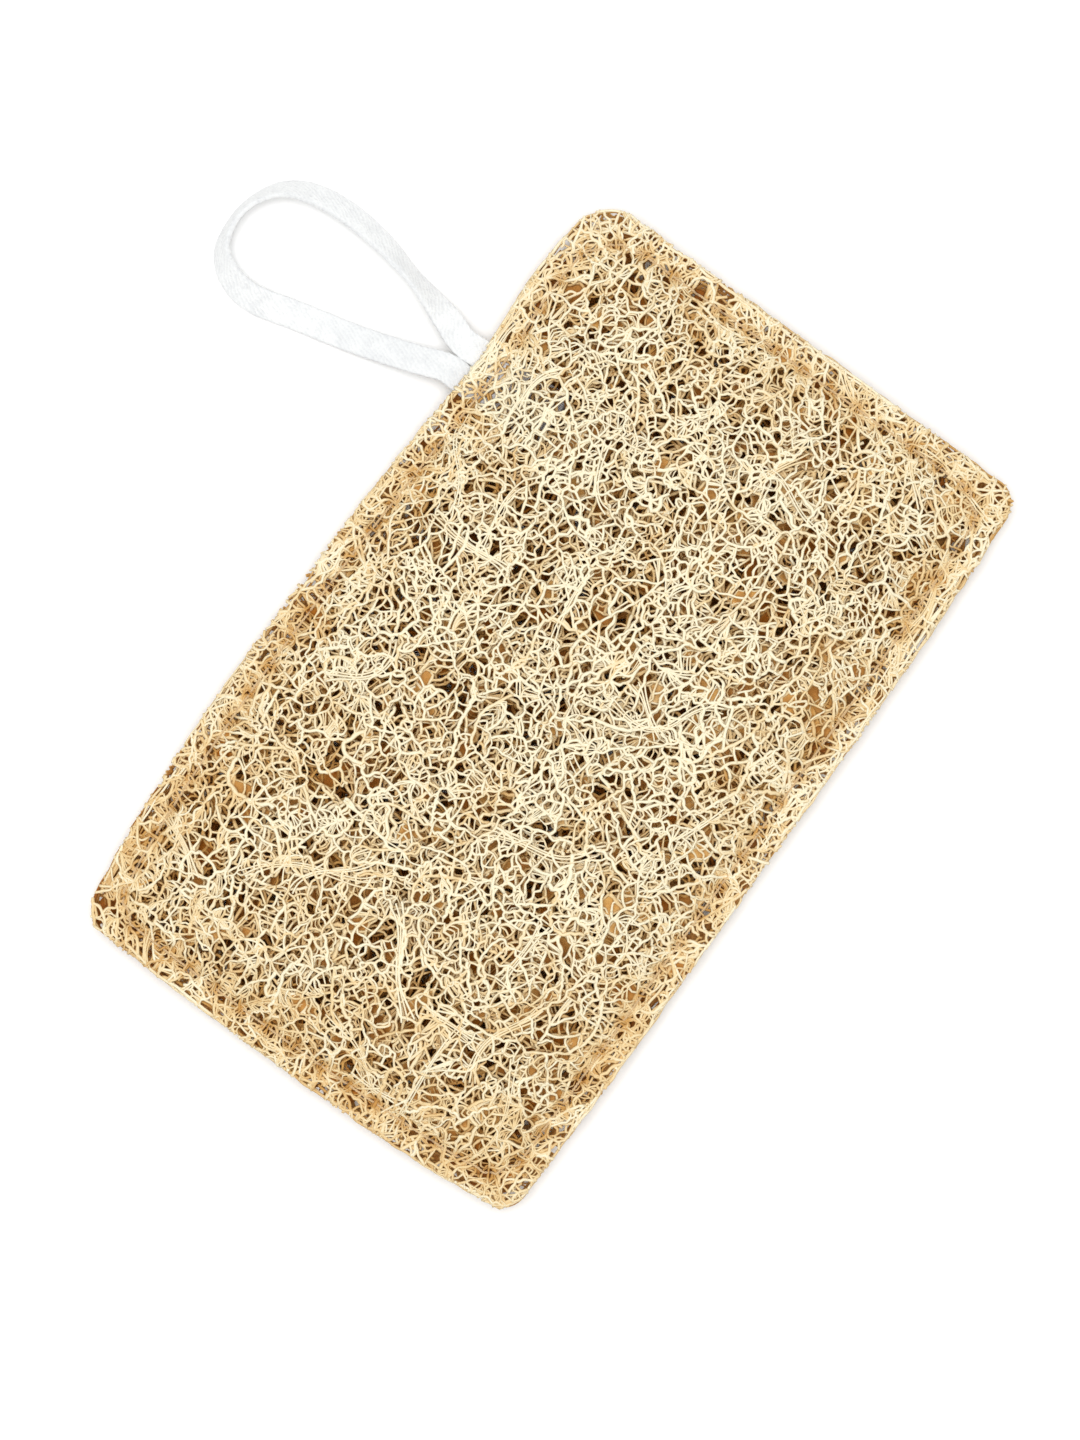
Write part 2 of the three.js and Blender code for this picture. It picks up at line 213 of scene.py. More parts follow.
def plain_ring(inset, spacing=1.0):
    """The rectangle with round corners that runs inside the edge, anticlockwise from the middle of
    the +X side, as evenly spaced points."""
    a, b = HALF_WIDTH - inset, HALF_LENGTH - inset
    outline = [np.array([[a, 0.0]])]
    for k, (sign_x, sign_y) in enumerate([(1, 1), (-1, 1), (-1, -1), (1, -1)]):
        radius = min(CORNER_RADII[k] + inset * CORNER_GROWTH, a * CORNER_LIMIT)
        angle = (k + np.linspace(0, 1, 60)) * math.pi / 2
        outline.append(np.column_stack([
            sign_x * (a - radius) + radius * np.cos(angle),
            sign_y * (b - radius) + radius * np.sin(angle),
        ]))
    outline = np.vstack(outline + [np.array([[a, 0.0]])])
    travelled = lengths_along(outline)
    at = np.linspace(0, travelled[-1], int(travelled[-1] / spacing), endpoint=False)
    return read_line(outline, travelled, at)


def stitch_places():
    """Where the thread goes through the pad, and the row's direction there. The row starts so that
    one stitch falls on each tape end."""
    ring = np.column_stack(bow(*plain_ring(SEAM_INSET, 0.05).T))
    left_side = np.arange(0.3, 0.5, 0.0005)
    on_left = ring[np.round(left_side * len(ring)).astype(int)]
    between = left_side[np.argmax(on_left[:, 1] <= LOOP_MIDDLE_Y)]
    places = (between + (np.arange(STITCH_COUNT) + 0.5) / STITCH_COUNT) % 1
    index = np.round(np.sort(places) * len(ring)).astype(int) % len(ring)
    along = ring[(index + 5) % len(ring)] - ring[index - 5]
    return ring[index], along / np.linalg.norm(along, axis=1)[:, None]


STITCHES, STITCH_DIRECTIONS = stitch_places()
LOOP_EDGE_X = -float(distance_at(LEFT_SIDE, LOOP_MIDDLE_Y))
HINGE_X = LOOP_EDGE_X - HINGE_OFFSET


# ---- Meshes

MOST_TRIANGLES = 190000
STEEPEST_FOR_UP = 0.85
GRAIN_JUMP = 5.3


def add_object(name, data):
    obj = bpy.data.objects.new(name, data)
    bpy.context.scene.collection.objects.link(obj)
    return obj


def make_object(name, vertices, corners, sizes, attributes, flat=slice(0)):
    """A mesh object from vertices in millimetres, the faces' corners end to end and their sizes. Its
    faces are shaded smooth, apart from the flat ones."""
    mesh = bpy.data.meshes.new(name)
    mesh.vertices.add(len(vertices))
    mesh.vertices.foreach_set("co", (vertices * MM).astype(np.float32).ravel())
    mesh.loops.add(len(corners))
    mesh.loops.foreach_set("vertex_index", np.asarray(corners, np.int32))
    mesh.polygons.add(len(sizes))
    starts = np.concatenate([[0], np.cumsum(sizes)[:-1]])
    mesh.polygons.foreach_set("loop_start", starts.astype(np.int32))
    smooth = np.ones(len(sizes), bool)
    smooth[flat] = False
    mesh.polygons.foreach_set("use_smooth", smooth)
    for label, values in attributes.items():
        attribute = mesh.attributes.new(label, "FLOAT_VECTOR", "POINT")
        attribute.data.foreach_set("vector", values.astype(np.float32).ravel())
    mesh.update(calc_edges=True)
    return add_object(name, mesh)


class Strands:
    """Many thin tubes that become one mesh: points, and a radius, depth and tone for each point. The
    "look" of a vertex is the depth, the tone and how far it faces up."""

    def __init__(self):
        self.rows, self.counts = [], []

    def add(self, points, radii, depths, tones, counts):
        self.rows.append(np.column_stack([points, radii, depths, tones]))
        self.counts.append(np.atleast_1d(counts))

    def mesh(self, name, sides, first_strand, last_strand):
        """One mesh of some of the strands. "around" is the place round a strand and along it."""
        counts = np.concatenate(self.counts)
        ends = np.cumsum(counts)
        chosen = slice(ends[first_strand] - counts[first_strand], ends[last_strand - 1])
        counts = counts[first_strand:last_strand]
        rows = np.vstack(self.rows)[chosen]
        points, radii, looks = rows[:, :3], rows[:, 3], rows[:, 4:]
        place = np.arange(len(points))
        starts = np.cumsum(counts) - counts
        first, last = (np.repeat(ends, counts) for ends in (starts, starts + counts - 1))
        tangents = unit(points[np.minimum(place + 1, last)] - points[np.maximum(place - 1, first)])
        whole = unit(points[last] - points[first])
        upright = np.where(np.abs(whole[:, 2:]) > STEEPEST_FOR_UP, (1.0, 0.0, 0.0), UP)
        side = unit(np.cross(tangents, upright))
        normal = np.cross(side, tangents)
        angle = np.arange(sides) * 2 * math.pi / sides
        cos, sin = np.cos(angle), np.sin(angle)
        ring = side[:, None] * cos[None, :, None] + normal[:, None] * sin[None, :, None]
        vertices = points[:, None] + ring * radii[:, None, None]
        steps = np.linalg.norm(np.diff(points, axis=0, prepend=points[:1]), axis=1)
        steps[starts] = GRAIN_JUMP
        travelled = np.cumsum(steps)
        corner = np.arange(sides)
        beside = (corner + 1) % sides
        here = place[place < last][:, None] * sides
        quads = np.stack([here + corner, here + sides + corner, here + sides + beside, here + beside], 2)
        caps = [starts[:, None] * sides + corner, (starts + counts - 1)[:, None] * sides + corner[::-1]]
        quad_count = quads.shape[0] * sides
        sizes = np.concatenate([np.full(quad_count, 4), np.full(2 * len(counts), sides)])
        around = np.stack(np.broadcast_arrays(cos[None], sin[None], travelled[:, None]), axis=2)
        look = np.column_stack([np.repeat(looks, sides, axis=0), np.tile(sin, len(points))])
        return make_object(
            name, vertices.reshape(-1, 3), np.concatenate([quads.ravel(), *(c.ravel() for c in caps)]),
            sizes, {"around": around.reshape(-1, 3), "look": look}, flat=slice(quad_count, None),
        )

    def objects(self, name, sides):
        """As many meshes as keep each below the most triangles."""
        counts = np.concatenate(self.counts)
        triangles = np.cumsum((counts - 1) * sides * 2 + 2 * (sides - 2))
        parts = int(triangles[-1] // MOST_TRIANGLES) + 1
        stops = np.searchsorted(triangles, np.arange(1, parts + 1) * triangles[-1] / parts)
        stops[-1] = len(counts)
        starts = [0, *stops[:-1]]
        names = [name] if parts == 1 else [f"{name}_{chr(ord('a') + part)}" for part in range(parts)]
        return [self.mesh(label, sides, start, stop) for label, start, stop in zip(names, starts, stops)]


def smooth_noise(rng, wavelength):
    """A function of the place that varies smoothly between about -1 and 1."""
    waves = 7
    angle = rng.uniform(0, 2 * math.pi, waves)
    numbers = 2 * math.pi / (wavelength * rng.uniform(0.7, 1.5, waves))
    phase = rng.uniform(0, 2 * math.pi, waves)
    directions = np.stack([np.cos(angle), np.sin(angle)]) * numbers

    def value(places):
        return np.sin(places @ directions + phase).sum(axis=-1) * math.sqrt(0.5 / waves)

    return value


# ---- Materials


class Nodes:
    """A material's node tree, with short ways to add to it."""

    def __init__(self, name, **sockets):
        self.material = bpy.data.materials.new(name)
        self.material.use_nodes = True
        self.tree = self.material.node_tree
        self.shader = self.tree.nodes["Principled BSDF"]
        for socket, value in sockets.items():
            self.shader.inputs[socket.replace("_", " ")].default_value = value

    def add(self, kind, inputs=None, **settings):
        node = self.tree.nodes.new(kind)
        for key, value in settings.items():
            setattr(node, key, value)
        for key, value in (inputs or {}).items():
            if isinstance(value, bpy.types.NodeSocket):
                self.tree.links.new(value, node.inputs[key])
            else:
                node.inputs[key].default_value = value
        return node

    def link(self, output, socket):
        self.tree.links.new(output, self.shader.inputs[socket])

    def maths(self, operation, *values):
        return self.add("ShaderNodeMath", dict(enumerate(values)), operation=operation).outputs[0]

    def attribute(self, name):
        return self.add("ShaderNodeAttribute", attribute_name=name).outputs["Vector"]

    def parts(self, vector):
        return self.add("ShaderNodeSeparateXYZ", {0: vector}).outputs

    def scaled(self, vector, scale):
        return self.add("ShaderNodeVectorMath", {0: vector, 1: scale}, operation="MULTIPLY").outputs[0]

    def noise(self, vector, scale, detail=2.0):
        inputs = {"Vector": vector, "Scale": scale, "Detail": detail}
        return self.add("ShaderNodeTexNoise", inputs).outputs["Fac"]

    def ramp(self, factor, stops):
        node = self.add("ShaderNodeValToRGB", {"Fac": factor})
        elements = node.color_ramp.elements
        while len(elements) < len(stops):
            elements.new(0.5)
        for element, (position, colour) in zip(elements, stops):
            element.position = position
            element.color = (*colour, 1)
        return node.outputs["Color"]

    def mix(self, factor, a, b, blend_type="MIX"):
        inputs = {0: factor, 6: a, 7: b}
        return self.add("ShaderNodeMix", inputs, data_type="RGBA", blend_type=blend_type).outputs[2]

    def bump(self, height, distance, strength=1.0):
        inputs = {"Height": height, "Distance": distance, "Strength": strength}
        self.link(self.add("ShaderNodeBump", inputs).outputs[0], "Normal")

    def place(self):
        return self.add("ShaderNodeTexCoord").outputs["Object"]


# How much a strand's patch, its own tone and the way it faces change how dark it is: facing out
# adds a painted highlight, facing in adds painted shade.
PATCH_SHADE = 0.5
TONE_SHADE = 0.07
SHADE_SHIFT = -0.2
OUTSIDE_PAINTED_HIGHLIGHT = 0.14
UNDERSIDE_PAINTED_SHADE = 0.42


def luffa_material(name, outward, pale, tan, brown, dark):
    """Dry luffa fibre with fine grain along each strand, in colours that hold painted light: a
    painted highlight where a strand faces out, and painted shade on the underside and deeper in."""
    nodes = Nodes(name, Specular_IOR_Level=0.15)
    depth, tone, up = nodes.parts(nodes.attribute("look"))
    patches = nodes.noise(nodes.place(), 110.0, 3.0)
    own = nodes.maths("MULTIPLY_ADD", tone, TONE_SHADE, SHADE_SHIFT)
    shade = nodes.maths("MULTIPLY_ADD", patches, PATCH_SHADE, own)
    outside, underside = (
        nodes.maths("MULTIPLY", up, -share * outward) for share in (OUTSIDE_PAINTED_HIGHLIGHT, UNDERSIDE_PAINTED_SHADE)
    )
    # The side of a strand that faces out is paler and the side that faces in is darker: painted highlight
    # and painted shade.
    painted_facing_light = nodes.maths("MAXIMUM", outside, underside)
    # Deeper strands are browner: painted shade deep in the net.
    depth_tone = nodes.maths("ADD", nodes.maths("ADD", depth, painted_facing_light), shade)
    colour = nodes.ramp(depth_tone, [(0.0, pale), (0.2, tan), (0.48, brown), (1.0, dark)])
    grain = nodes.noise(nodes.scaled(nodes.attribute("around"), (2.2, 2.2, 0.9)), 2.4, 4.0)
    streaks = nodes.ramp(grain, [(0.3, (0.72, 0.66, 0.56)), (0.62, (1.0, 1.0, 1.0))])
    nodes.link(nodes.mix(0.5, colour, streaks, "MULTIPLY"), "Base Color")
    nodes.link(nodes.maths("MULTIPLY_ADD", grain, 0.35, 0.5), "Roughness")
    nodes.bump(grain, 0.00012, 0.6)
    return nodes.material


def thread_material():
    """Tan spun thread, with fibres that run along it."""
    nodes = Nodes("sewing_thread", Roughness=0.6, Sheen_Weight=0.3)
    fibres = nodes.noise(nodes.scaled(nodes.attribute("around"), (1, 1, 0.8)), 7.0, 3.0)
    colour = nodes.ramp(fibres, [(0.3, (0.5, 0.31, 0.13)), (0.7, (0.84, 0.62, 0.34))])
    nodes.link(colour, "Base Color")
    nodes.bump(fibres, 0.00006)
    return nodes.material


# The weave's waves along and across the tape in radians per millimetre, and how far they stray.
TWILL_ALONG = 5.6
TWILL_ACROSS = 8.0
TWILL_STRAYING = 16.0


def tape_material():
    """Bleached cotton: an uneven, fuzzy diagonal weave in yarns about 0.6 mm wide. It is greyer at
    its edges, as painted shade, and greyer near the lower arm's root.
    """
    nodes = Nodes("cotton_tape", Roughness=0.88, Sheen_Weight=0.35, Sheen_Roughness=0.6)
    along, across, edge = nodes.parts(nodes.attribute("weave"))
    clouds = nodes.noise(nodes.place(), 420.0, 3.0)
    twill = nodes.maths("MULTIPLY_ADD", across, TWILL_ACROSS, nodes.maths("MULTIPLY", along, TWILL_ALONG))
    uneven = nodes.maths("MULTIPLY_ADD", clouds, TWILL_STRAYING, twill)
    yarns = nodes.maths("MULTIPLY_ADD", nodes.maths("SINE", uneven), 0.5, 0.5)
    fuzz = nodes.noise(nodes.place(), 2600.0, 5.0)
    height = nodes.maths("MULTIPLY_ADD", fuzz, 1.1, nodes.maths("MULTIPLY", yarns, 0.25))
    # Grey blotches, and greyer where the weave and its fuzz sit low: painted shade in the weave's hollows.
    blotches_and_weave_shade = nodes.maths("MULTIPLY_ADD", clouds, 0.6, nodes.maths("MULTIPLY", height, 0.4))
    colour = nodes.ramp(blotches_and_weave_shade, [(0.4, (0.7, 0.715, 0.73)), (0.64, (0.81, 0.825, 0.83))])
    # Greyer towards the tape's edges: painted shade where its sides turn away from the light. Greyer near
    # the lower arm's root, too.
    nodes.link(nodes.mix(nodes.maths("MULTIPLY", edge, 0.12), colour, (0.5, 0.52, 0.55, 1)), "Base Color")
    nodes.bump(height, 0.0002, 0.8)
    return nodes.material


def floor_material():
    nodes = Nodes("studio_floor", Roughness=0.9)
    clouds = nodes.noise(nodes.place(), 3.0)
    tint = nodes.ramp(clouds, [(0.3, (0.93, 0.93, 0.93)), (0.7, (0.95, 0.95, 0.95))])
    nodes.link(tint, "Base Color")
    return nodes.material


# ---- Camera and light

CAMERA_PLACE = (0.6, -2.5, 644.5)
VIEW_TURN = 35.1
LENS = 100.0
KEY_PLACE = (-60.0, 10.0, 1000.0)
KEY_SIZE = 800.0
KEY_POWER = 7.9
SKY_STRENGTH = 0.64


def add_camera():
    """Straight above the pad, turned so that the pad lies aslant in the picture."""
    data = bpy.data.cameras.new("camera")
    data.sensor_width = 36.0
    data.lens = LENS
    camera = add_object("camera", data)
    camera.location = [value * MM for value in CAMERA_PLACE]
    camera.rotation_euler = (0, 0, math.radians(VIEW_TURN))
    bpy.context.scene.camera = camera


def add_key_light():
    """A wide, soft light that faces the pad."""
    data = bpy.data.lights.new("key", "AREA")
    data.shape = "DISK"
    data.size = KEY_SIZE * MM
    data.energy = KEY_POWER
    light = add_object("key", data)
    light.location = [value * MM for value in KEY_PLACE]
    light.rotation_euler = Vector(KEY_PLACE).to_track_quat("Z", "Y").to_euler()


def add_studio():
    """A pale floor, soft light from above and an even sky."""
    bpy.ops.mesh.primitive_grid_add(x_subdivisions=8, y_subdivisions=8, size=4)
    floor = bpy.context.object
    floor.name = "studio_floor"
    floor.data.materials.append(floor_material())
    world = bpy.data.worlds.new("studio")
    world.use_nodes = True
    background = world.node_tree.nodes["Background"]
    background.inputs["Color"].default_value = (1.0, 0.99, 0.97, 1)
    background.inputs["Strength"].default_value = SKY_STRENGTH
    bpy.context.scene.world = world
    add_key_light()
    bpy.context.scene.view_settings.view_transform = "Standard"


# ---- The cotton tape

TAPE_STEP = 0.2
TAPE_SIDES = 64
TAPE_EDGE_POWER = 5.0
TWILL_RELIEF = 0.01
HERRING_RELIEF = 0.008
ROOT_DARKENING_LENGTH = 26.0
ROOT_SPREAD = 0.035
TAIL_STOPS = 9


def tape_line():
    """The tape's whole centreline with its tilt, from sewn-in end to sewn-in end, and how far along
    it each point is."""
    inside = np.linspace(TAIL_REACH, 0, TAIL_STOPS)
    level = np.zeros(TAIL_STOPS)
    tail = np.column_stack([LOOP_EDGE_X + inside, level, meet_height(inside), level])
    upper = tail + (0, LOOP_MIDDLE_Y + TAPE_SPACING, 0, 0)
    lower = tail[::-1] + (0, LOOP_MIDDLE_Y - TAPE_SPACING, 0, 0)
    loop = np.array(LOOP_ROUTE, float)
    loop[[0, -1], 0] = HINGE_X
    line = catmull_rom(np.vstack([upper, loop, lower]), 24)
    travelled = lengths_along(line[:, :3])
    even = np.linspace(0, travelled[-1], int(travelled[-1] / TAPE_STEP) + 1)
    return read_line(line, travelled, even), even


def tape_section():
    """Places across the tape and heights, round a flat section with soft edges."""
    angle = np.arange(TAPE_SIDES) * 2 * math.pi / TAPE_SIDES
    power = 2 / TAPE_EDGE_POWER
    across, high = (np.sign(wave) * np.abs(wave) ** power for wave in (np.cos(angle), np.sin(angle)))
    return across * TAPE_WIDTH / 2, high * TAPE_THICKNESS / 2


def tape_surface(line, s, c, high):
    """The tape's vertices at s along it and c across it, a little uneven and wider where it is sewn."""
    points, tilt = line[:, :3], np.radians(line[:, 3])
    tangents = unit(np.gradient(points, axis=0))
    inward = unit(np.cross(UP, tangents))
    lifted = np.cross(tangents, inward)
    side = inward * np.cos(tilt)[:, None] + lifted * np.sin(tilt)[:, None]
    normal = np.cross(tangents, side)
    inner = 1 - smoothstep(0.8, 1.0, np.abs(c) * 2 / TAPE_WIDTH)
    crossing = np.sin(s * TWILL_ALONG + c * TWILL_ACROSS)
    herring = np.sin(s * TWILL_ALONG - c * TWILL_ACROSS + 1.3)
    relief = (TWILL_RELIEF * crossing + HERRING_RELIEF * herring) * inner
    soft = 1 + 0.06 * np.sin(s * 0.9 + 1.1) * np.sin(c * 0.8) + 0.05 * np.sin(s * 0.37)
    height = high[None] * soft + np.sign(high)[None] * relief
    selvedge = 1 + 0.012 * np.sin(s * 5.2) + 0.01 * np.sin(s * 1.7 + 2)
    from_end = np.minimum(s, s[-1] - s)
    selvedge += ROOT_SPREAD * (1 - smoothstep(TAIL_REACH, TAIL_REACH + 5, from_end))
    vertices = (
        points[:, None] + side[:, None] * (c * selvedge)[..., None] + normal[:, None] * height[..., None]
    )
    return vertices.reshape(-1, 3)


def tape_faces(rows):
    """Faces from each row of vertices to the next and a cap at each end, as corners and sizes."""
    corner = np.arange(TAPE_SIDES)
    beside = (corner + 1) % TAPE_SIDES
    here = np.arange(rows - 1)[:, None] * TAPE_SIDES
    ahead = here + TAPE_SIDES
    quads = np.stack([here + corner, here + beside, ahead + beside, ahead + corner], 2)
    caps = [corner[::-1], (rows - 1) * TAPE_SIDES + corner]
    sizes = [4] * (rows - 1) * TAPE_SIDES + [TAPE_SIDES] * 2
    return np.concatenate([quads.ravel(), *caps]), sizes


def make_tape():
    line, travelled = tape_line()
    across, high = tape_section()
    s, c = np.meshgrid(travelled, across, indexing="ij")
    # Painted shade towards the tape's edges.
    edge = smoothstep(0.86, 0.97, np.abs(c) * 2 / TAPE_WIDTH)
    # The tape is darker over a stretch of the lower arm just before it goes into the pad.
    root_darkening_start = travelled[-1] - TAIL_REACH - ROOT_DARKENING_LENGTH
    root_darkening = smoothstep(root_darkening_start, root_darkening_start + 4, s + c)
    weave = np.stack([s, c, edge + root_darkening], axis=2).reshape(-1, 3)
    vertices = tape_surface(line, s, c, high)
    corners, sizes = tape_faces(len(line))
    tape = make_object(
        "cotton_tape_loop", vertices, corners, sizes, {"weave": weave}, flat=slice(-2, None)
    )
    tape.data.materials.append(tape_material())
    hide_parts("hanging_loop", "loop_end_upper", "loop_end_lower")
    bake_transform(tape)


# ---- Luffa nets

NET_MARGIN = 5.0
CELL_STRETCH = 1.18
CELL_JITTER = 0.38
WARP = 2.0
WARP_LENGTH = 17.0
MISSING_SHARE = 0.09
STRAIGHTENING = 0.4
STRAND_BEND = 0.14
RELIEF_LENGTH = 11.0
JUNCTION_FLARE = 1.22
MIDDLE_FLARE = 0.92
LONGEST_CHAIN = 15
SHORTEST_FINE_STRAND = 0.9
SHORTEST_STRETCH = 0.3


def scatter(rng, cell):
    """Places on a loose, uneven grid that covers the pad and a little more, wider apart lengthways."""
    wide = cell / CELL_STRETCH
    high = 0.866 * cell * CELL_STRETCH
    rows = int(2 * (HALF_LENGTH + NET_MARGIN) / high) + 1
    columns = int(2 * (HALF_WIDTH + NET_MARGIN) / wide) + 1
    i, j = np.meshgrid(np.arange(columns), np.arange(rows), indexing="ij")
    u = (i + 0.5 * (j % 2)) * wide - HALF_WIDTH - NET_MARGIN
    v = j * high - HALF_LENGTH - NET_MARGIN
    places = np.column_stack([u.ravel(), v.ravel()])
    places += rng.uniform(-CELL_JITTER, CELL_JITTER, places.shape) * cell
    warps = [smooth_noise(rng, WARP_LENGTH) for _ in range(2)]
    return places + WARP * np.column_stack([warp(places) for warp in warps])


def neighbours(triangles):
    """Each pair of triangles that share a side."""
    sides = np.sort(np.concatenate([triangles[:, [0, 1]], triangles[:, [1, 2]], triangles[:, [2, 0]]]))
    owner = np.tile(np.arange(len(triangles)), 3)
    order = np.lexsort((sides[:, 1], sides[:, 0]))
    sides, owner = sides[order], owner[order]
    same = np.all(sides[1:] == sides[:-1], axis=1)
    return np.column_stack([owner[:-1][same], owner[1:][same]])


class Net:
    """One layer of luffa: junctions where three strands meet, strands between them, and the cells
    that they enclose. Controls are the junctions and then the middle of each link."""

    def __init__(self, rng, cell, roughness):
        self.rng = rng
        sites = scatter(rng, cell)
        triangles = np.array(delaunay_2d_cdt([Vector(p) for p in sites], [], [], 0, 1e-6)[2])
        self.junctions = sites[triangles].mean(axis=1)
        self.links = neighbours(triangles)
        self.present = rng.random(len(self.links)) > MISSING_SHARE
        self.through = self.straightest_pairs()
        self.straighten(3)
        a, b = self.junctions[self.links.T]
        aside = (b - a)[:, ::-1] * (1, -1) * rng.normal(0, STRAND_BEND, (len(a), 1))
        relief = smooth_noise(rng, RELIEF_LENGTH)
        lifts = roughness * (rng.normal(0, 0.8, len(self.junctions)) + relief(self.junctions))
        between = lifts[self.links].mean(axis=1) + rng.normal(0, 0.4 * roughness, len(a))
        places = np.vstack([self.junctions, (a + b) / 2 + aside])
        flares = np.repeat([JUNCTION_FLARE, MIDDLE_FLARE], [len(self.junctions), len(a)])
        self.controls = np.column_stack([places, np.concatenate([lifts, between]), flares])
        self.cells = self.find_cells(triangles, len(sites))

    def straightest_pairs(self):
        """For each junction, the two links that one strand follows through it."""
        at = [[] for _ in self.junctions]
        for link in np.flatnonzero(self.present):
            for end in (0, 1):
                at[self.links[link, end]].append((link, self.links[link, 1 - end]))
        through = {}
        for junction, found in enumerate(at):
            if len(found) < 2:
                continue
            arms = unit(self.junctions[[other for _, other in found]] - self.junctions[junction])
            dots = arms @ arms.T
            i, j = divmod(int(np.argmin(dots)), len(found))
            through[junction] = (found[i], found[j])
        return through

    def straighten(self, rounds):
        """Draws each junction towards the line of the strand that runs through it."""
        middle = np.array(list(self.through))
        ends = np.array([[pair[0][1], pair[1][1]] for pair in self.through.values()])
        for _ in range(rounds):
            goal = self.junctions[ends].mean(axis=1)
            self.junctions[middle] += STRAIGHTENING * (goal - self.junctions[middle])

    def find_cells(self, triangles, site_count):
        """The controls round each site whose cell is whole, in order."""
        link_of = {pair: k for k, (a, b) in enumerate(self.links) for pair in ((a, b), (b, a))}
        round_site = [[] for _ in range(site_count)]
        for triangle, corners in enumerate(triangles):
            for corner in corners:
                round_site[corner].append(triangle)
        cells = []
        for members in round_site:
            if len(members) < 4:
                continue
            spokes = self.junctions[members] - self.junctions[members].mean(axis=0)
            order = np.array(members)[np.argsort(np.arctan2(spokes[:, 1], spokes[:, 0]))]
            links = [link_of.get((a, b), -1) for a, b in zip(order, np.roll(order, -1))]
            if -1 in links or not self.present[links].all():
                continue
            cells.append(np.column_stack([order, np.array(links) + len(self.junctions)]).ravel())
        return cells

    def chains(self):
        """Strands that run through one junction after another, as lists of controls."""
        used = ~self.present
        chains = []
        for first in self.rng.permutation(np.flatnonzero(self.present)):
            if used[first]:
                continue
            used[first] = True
            a, b = self.links[first]
            limit = self.rng.integers(4, LONGEST_CHAIN)
            halves = []
            for at in (b, a):
                link, half = first, [at]
                while len(half) < limit:
                    pair = self.through.get(at, ())
                    onward = [step for step in pair if step[0] != link]
                    if len(onward) != 1 or used[onward[0][0]]:
                        break
                    link, at = onward[0]
                    used[link] = True
                    half += [len(self.junctions) + link, at]
                halves.append(half)
            chains.append(halves[1][::-1] + [len(self.junctions) + first] + halves[0])
        return chains


def line_crossings(outline, place, direction):
    """The first and last points where a line through a place crosses an outline, or None."""
    normal = np.array([-direction[1], direction[0]])
    offsets = (outline[:, :2] - place) @ normal
    following = np.roll(offsets, -1)
    hits = np.flatnonzero(offsets * following < 0)
    if len(hits) < 2:
        return None
    t = (offsets[hits] / (offsets[hits] - following[hits]))[:, None]
    points = outline[hits] * (1 - t) + np.roll(outline, -1, axis=0)[hits] * t
    order = np.argsort((points[:, :2] - place) @ direction)
    return points[order[0]], points[order[-1]]


def fine_strands(rng, outline, spacing, fan):
    """Thin strands across one cell, side by side or fanning out from one corner."""
    centre = outline[:, :2].mean(axis=0)
    spread = outline[:, :2] - centre
    _, axes = np.linalg.eigh(spread.T @ spread)
    turn = rng.normal(0, 0.35)
    cos, sin = math.cos(turn), math.sin(turn)
    direction = np.array([[cos, -sin], [sin, cos]]) @ axes[:, 0]
    normal = np.array([-direction[1], direction[0]])
    reach = np.abs(spread @ normal).max()
    offsets = np.arange(-reach + spacing * rng.uniform(0.3, 0.9), reach, spacing)
    offsets += rng.normal(0, 0.12, len(offsets)) * spacing
    apex = outline[rng.integers(len(outline) // 2) * 2, :2] * 0.96 + centre * 0.04
    sag = rng.uniform(0.1, 0.5)
    bend = rng.normal(0, 0.2)
    strands = []
    for offset in offsets:
        place, heading = centre + normal * offset, direction
        if fan:
            heading = unit(place + (centre - apex) * 0.5 - apex)
            place = apex
        crossed = line_crossings(outline, place, heading)
        if crossed is None:
            continue
        start, end = crossed
        length = np.hypot(*(end - start)[:2])
        if length < SHORTEST_FINE_STRAND:
            continue
        middle = (start + end) / 2
        middle[:2] += normal * bend * length
        middle[2] -= sag * min(length / 3, 1)
        strands.append(catmull_rom(np.stack([start, middle, end]), 2))
    return strands


def clip_to_outline(points, strand, margins):
    """Cuts strands where they leave the pad. Returns the points inside, the strand of each and how
    many points each remaining stretch has."""
    inset = inset_of(points[:, 0], points[:, 1]) - margins[strand]
    inside = inset > 0
    same = strand[1:] == strand[:-1]
    crossed = np.flatnonzero(same & (inside[1:] != inside[:-1]))
    t = (inset[crossed] / (inset[crossed] - inset[crossed + 1]))[:, None]
    cuts = points[crossed] * (1 - t) + points[crossed + 1] * t
    kept = np.flatnonzero(inside)
    opens = np.concatenate([[True], ~same])[kept]
    order = np.argsort(np.concatenate([kept, crossed + 0.5]), kind="stable")
    points = np.vstack([points[kept], cuts])[order]
    strand = np.concatenate([strand[kept], strand[crossed]])[order]
    opens = np.concatenate([opens, inside[crossed + 1]])[order]
    run = np.cumsum(opens) - 1
    counts = np.bincount(run)
    firsts = np.cumsum(counts) - counts
    spans = np.hypot(*(points[firsts + counts - 1] - points[firsts])[:, :2].T)
    good = (counts > 1) & ((spans > SHORTEST_STRETCH) | (counts > 4))
    return points[good[run]], strand[good[run]], counts[good]


# ---- Luffa panels

STRAND_MARGIN = 0.3
FACE_CLEARANCE = 0.02
INNER_CLEARANCE = 0.12
FULL_THICKNESS = 8.0

# A strand's depth is measured against a scale that grows with the panel's thickness. Shades add to it.
# The depth darkens a strand's colour: painted shade deep in the net.
SHALLOW_SCALE = 1.1
DEEP_SHARE = 0.84
RIM_SHADE = 0.05
RIM_SHADE_WIDTH = 26.0
LOWER_END_SHADE = 0.075
LOWER_END_FADE = (-15.0, -55.0)
# Painted shade in the needle holes.
STITCH_SHADE = 0.3
